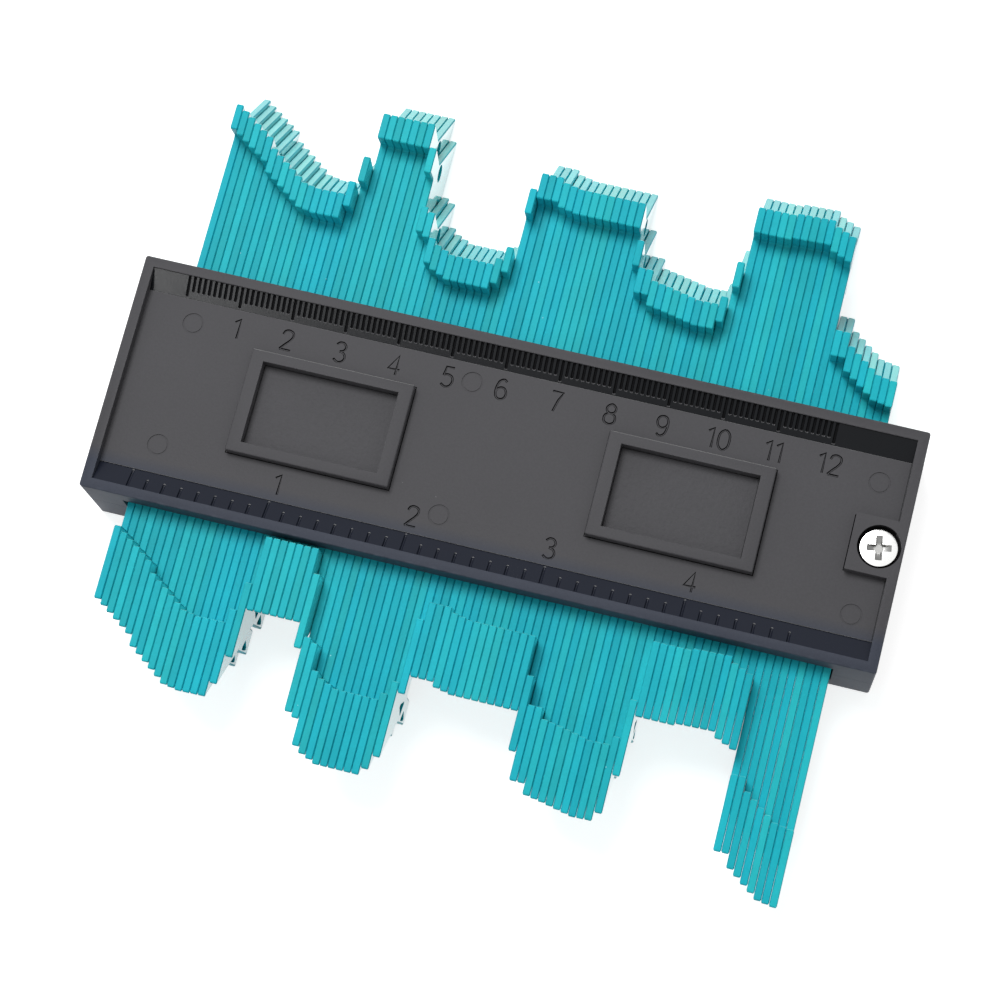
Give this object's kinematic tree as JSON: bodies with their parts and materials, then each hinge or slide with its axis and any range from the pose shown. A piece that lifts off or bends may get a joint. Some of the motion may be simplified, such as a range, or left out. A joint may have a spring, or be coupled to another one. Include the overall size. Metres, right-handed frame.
{
  "type": "contour gauge",
  "caption": "Hand-held contour gauge: a flat graduated two-part housing with a stack of thin leaves that slide across it and hold the outline they are pushed to.",
  "frame": {"origin": "centre of the back cover's flat plate, which its rim surrounds", "axes": "+X along the housing, towards the screw that shows on the front; +Y along the leaves, towards their noses; +Z out of the front"},
  "size_m": [0.1452, 0.1332, 0.02],
  "materials": {
    "housing_plastic": "fine-textured charcoal moulded plastic",
    "leaf_plastic": "smooth teal moulded plastic",
    "nickel": "bright nickel plate",
    "foam": "soft black foam strip"
  },
  "bodies": {
    "housing": {"front_cover": "housing_plastic", "back_cover": "housing_plastic", "front_screw": "nickel", "back_screw": "nickel", "front_friction_strip": "foam", "back_friction_strip": "foam"},
    "leaves_01_02": {"leaves_01_02": "leaf_plastic"},
    "leaves_03_04": {"leaves_03_04": "leaf_plastic"},
    "leaves_05_06": {"leaves_05_06": "leaf_plastic"},
    "leaves_07_08": {"leaves_07_08": "leaf_plastic"},
    "leaves_09_10": {"leaves_09_10": "leaf_plastic"},
    "leaves_11_12": {"leaves_11_12": "leaf_plastic"},
    "leaves_13_14": {"leaves_13_14": "leaf_plastic"},
    "leaves_15_16": {"leaves_15_16": "leaf_plastic"},
    "leaves_17_18": {"leaves_17_18": "leaf_plastic"},
    "leaves_19_20": {"leaves_19_20": "leaf_plastic"},
    "leaves_21_22": {"leaves_21_22": "leaf_plastic"},
    "leaves_23_24": {"leaves_23_24": "leaf_plastic"},
    "leaves_25_26": {"leaves_25_26": "leaf_plastic"},
    "leaves_27_28": {"leaves_27_28": "leaf_plastic"},
    "leaves_29_30": {"leaves_29_30": "leaf_plastic"},
    "leaves_31_32": {"leaves_31_32": "leaf_plastic"},
    "leaves_33_34": {"leaves_33_34": "leaf_plastic"},
    "leaves_35_36": {"leaves_35_36": "leaf_plastic"},
    "leaves_37_38": {"leaves_37_38": "leaf_plastic"},
    "leaves_39_40": {"leaves_39_40": "leaf_plastic"},
    "leaves_41_42": {"leaves_41_42": "leaf_plastic"},
    "leaves_43_44": {"leaves_43_44": "leaf_plastic"},
    "leaves_45_46": {"leaves_45_46": "leaf_plastic"},
    "leaves_47_48": {"leaves_47_48": "leaf_plastic"},
    "leaves_49_50": {"leaves_49_50": "leaf_plastic"},
    "leaves_51_52": {"leaves_51_52": "leaf_plastic"},
    "leaves_53_54": {"leaves_53_54": "leaf_plastic"},
    "leaves_55_56": {"leaves_55_56": "leaf_plastic"},
    "leaves_57_58": {"leaves_57_58": "leaf_plastic"},
    "leaves_59_60": {"leaves_59_60": "leaf_plastic"},
    "leaves_61_62": {"leaves_61_62": "leaf_plastic"},
    "leaves_63_64": {"leaves_63_64": "leaf_plastic"},
    "leaves_65_66": {"leaves_65_66": "leaf_plastic"},
    "leaves_67_68": {"leaves_67_68": "leaf_plastic"},
    "leaves_69_70": {"leaves_69_70": "leaf_plastic"},
    "leaves_71_72": {"leaves_71_72": "leaf_plastic"},
    "leaves_73_74": {"leaves_73_74": "leaf_plastic"},
    "leaves_75_76": {"leaves_75_76": "leaf_plastic"},
    "leaves_77_78": {"leaves_77_78": "leaf_plastic"},
    "leaves_79_80": {"leaves_79_80": "leaf_plastic"},
    "leaves_81_82": {"leaves_81_82": "leaf_plastic"},
    "leaves_83_84": {"leaves_83_84": "leaf_plastic"},
    "leaves_85_86": {"leaves_85_86": "leaf_plastic"},
    "leaves_87_88": {"leaves_87_88": "leaf_plastic"},
    "leaves_89_90": {"leaves_89_90": "leaf_plastic"},
    "leaf_91": {"leaf_91": "leaf_plastic"}
  },
  "joints": [
    {"name": "leaves_01_02_slide", "type": "slide", "parent": "housing", "child": "leaves_01_02", "axis": [0, 1, 0], "range_m": [-0.02594, 0.0051]},
    {"name": "leaves_03_04_slide", "type": "slide", "parent": "housing", "child": "leaves_03_04", "axis": [0, 1, 0], "range_m": [-0.02402, 0.00702]},
    {"name": "leaves_05_06_slide", "type": "slide", "parent": "housing", "child": "leaves_05_06", "axis": [0, 1, 0], "range_m": [-0.0221, 0.00894]},
    {"name": "leaves_07_08_slide", "type": "slide", "parent": "housing", "child": "leaves_07_08", "axis": [0, 1, 0], "range_m": [-0.01898, 0.012]},
    {"name": "leaves_09_10_slide", "type": "slide", "parent": "housing", "child": "leaves_09_10", "axis": [0, 1, 0], "range_m": [-0.01694, 0.01404]},
    {"name": "leaves_11_12_slide", "type": "slide", "parent": "housing", "child": "leaves_11_12", "axis": [0, 1, 0], "range_m": [-0.0149, 0.01608]},
    {"name": "leaves_13_14_slide", "type": "slide", "parent": "housing", "child": "leaves_13_14", "axis": [0, 1, 0], "range_m": [-0.0144, 0.01735]},
    {"name": "leaves_15_16_slide", "type": "slide", "parent": "housing", "child": "leaves_15_16", "axis": [0, 1, 0], "range_m": [-0.01443, 0.01753]},
    {"name": "leaves_17_18_slide", "type": "slide", "parent": "housing", "child": "leaves_17_18", "axis": [0, 1, 0], "range_m": [-0.0145, 0.0149]},
    {"name": "leaves_19_20_slide", "type": "slide", "parent": "housing", "child": "leaves_19_20", "axis": [0, 1, 0], "range_m": [-0.0223, 0.0008]},
    {"name": "leaves_21_22_slide", "type": "slide", "parent": "housing", "child": "leaves_21_22", "axis": [0, 1, 0], "range_m": [-0.0312, 0.0008]},
    {"name": "leaves_23_24_slide", "type": "slide", "parent": "housing", "child": "leaves_23_24", "axis": [0, 1, 0], "range_m": [-0.0312, 0.0008]},
    {"name": "leaves_25_26_slide", "type": "slide", "parent": "housing", "child": "leaves_25_26", "axis": [0, 1, 0], "range_m": [-0.0312, 0.0008]},
    {"name": "leaves_27_28_slide", "type": "slide", "parent": "housing", "child": "leaves_27_28", "axis": [0, 1, 0], "range_m": [-0.0154, 0.0053]},
    {"name": "leaves_29_30_slide", "type": "slide", "parent": "housing", "child": "leaves_29_30", "axis": [0, 1, 0], "range_m": [-0.0099, 0.0174]},
    {"name": "leaves_31_32_slide", "type": "slide", "parent": "housing", "child": "leaves_31_32", "axis": [0, 1, 0], "range_m": [-0.0082, 0.0232]},
    {"name": "leaves_33_34_slide", "type": "slide", "parent": "housing", "child": "leaves_33_34", "axis": [0, 1, 0], "range_m": [-0.0076, 0.0244]},
    {"name": "leaves_35_36_slide", "type": "slide", "parent": "housing", "child": "leaves_35_36", "axis": [0, 1, 0], "range_m": [-0.0076, 0.0244]},
    {"name": "leaves_37_38_slide", "type": "slide", "parent": "housing", "child": "leaves_37_38", "axis": [0, 1, 0], "range_m": [-0.0076, 0.0244]},
    {"name": "leaves_39_40_slide", "type": "slide", "parent": "housing", "child": "leaves_39_40", "axis": [0, 1, 0], "range_m": [-0.0089, 0.0206]},
    {"name": "leaves_41_42_slide", "type": "slide", "parent": "housing", "child": "leaves_41_42", "axis": [0, 1, 0], "range_m": [-0.0232, 0.0055]},
    {"name": "leaves_43_44_slide", "type": "slide", "parent": "housing", "child": "leaves_43_44", "axis": [0, 1, 0], "range_m": [-0.0265, 0.0055]},
    {"name": "leaves_45_46_slide", "type": "slide", "parent": "housing", "child": "leaves_45_46", "axis": [0, 1, 0], "range_m": [-0.0253, 0.0064]},
    {"name": "leaves_47_48_slide", "type": "slide", "parent": "housing", "child": "leaves_47_48", "axis": [0, 1, 0], "range_m": [-0.025, 0.007]},
    {"name": "leaves_49_50_slide", "type": "slide", "parent": "housing", "child": "leaves_49_50", "axis": [0, 1, 0], "range_m": [-0.025, 0.007]},
    {"name": "leaves_51_52_slide", "type": "slide", "parent": "housing", "child": "leaves_51_52", "axis": [0, 1, 0], "range_m": [-0.025, 0.007]},
    {"name": "leaves_53_54_slide", "type": "slide", "parent": "housing", "child": "leaves_53_54", "axis": [0, 1, 0], "range_m": [-0.025, 0.007]},
    {"name": "leaves_55_56_slide", "type": "slide", "parent": "housing", "child": "leaves_55_56", "axis": [0, 1, 0], "range_m": [-0.018, 0.007]},
    {"name": "leaves_57_58_slide", "type": "slide", "parent": "housing", "child": "leaves_57_58", "axis": [0, 1, 0], "range_m": [-0.013, 0.019]},
    {"name": "leaves_59_60_slide", "type": "slide", "parent": "housing", "child": "leaves_59_60", "axis": [0, 1, 0], "range_m": [-0.01085, 0.0209]},
    {"name": "leaves_61_62_slide", "type": "slide", "parent": "housing", "child": "leaves_61_62", "axis": [0, 1, 0], "range_m": [-0.0103, 0.0214]},
    {"name": "leaves_63_64_slide", "type": "slide", "parent": "housing", "child": "leaves_63_64", "axis": [0, 1, 0], "range_m": [-0.0097, 0.022]},
    {"name": "leaves_65_66_slide", "type": "slide", "parent": "housing", "child": "leaves_65_66", "axis": [0, 1, 0], "range_m": [-0.0094, 0.02255]},
    {"name": "leaves_67_68_slide", "type": "slide", "parent": "housing", "child": "leaves_67_68", "axis": [0, 1, 0], "range_m": [-0.0095, 0.0209]},
    {"name": "leaves_69_70_slide", "type": "slide", "parent": "housing", "child": "leaves_69_70", "axis": [0, 1, 0], "range_m": [-0.0181, 0.003]},
    {"name": "leaves_71_72_slide", "type": "slide", "parent": "housing", "child": "leaves_71_72", "axis": [0, 1, 0], "range_m": [-0.029, 0.003]},
    {"name": "leaves_73_74_slide", "type": "slide", "parent": "housing", "child": "leaves_73_74", "axis": [0, 1, 0], "range_m": [-0.029, 0.003]},
    {"name": "leaves_75_76_slide", "type": "slide", "parent": "housing", "child": "leaves_75_76", "axis": [0, 1, 0], "range_m": [-0.0294, 0.00255]},
    {"name": "leaves_77_78_slide", "type": "slide", "parent": "housing", "child": "leaves_77_78", "axis": [0, 1, 0], "range_m": [-0.0295, 0.00245]},
    {"name": "leaves_79_80_slide", "type": "slide", "parent": "housing", "child": "leaves_79_80", "axis": [0, 1, 0], "range_m": [-0.0285, 0.0024]},
    {"name": "leaves_81_82_slide", "type": "slide", "parent": "housing", "child": "leaves_81_82", "axis": [0, 1, 0], "range_m": [-0.0273, 0.0041]},
    {"name": "leaves_83_84_slide", "type": "slide", "parent": "housing", "child": "leaves_83_84", "axis": [0, 1, 0], "range_m": [-0.0096, 0.0224]},
    {"name": "leaves_85_86_slide", "type": "slide", "parent": "housing", "child": "leaves_85_86", "axis": [0, 1, 0], "range_m": [-0.00615, 0.0248]},
    {"name": "leaves_87_88_slide", "type": "slide", "parent": "housing", "child": "leaves_87_88", "axis": [0, 1, 0], "range_m": [-0.0041, 0.0269]},
    {"name": "leaves_89_90_slide", "type": "slide", "parent": "housing", "child": "leaves_89_90", "axis": [0, 1, 0], "range_m": [-0.00285, 0.0289]},
    {"name": "leaf_91_slide", "type": "slide", "parent": "housing", "child": "leaf_91", "axis": [0, 1, 0], "range_m": [-0.0026, 0.0294]}
  ]
}
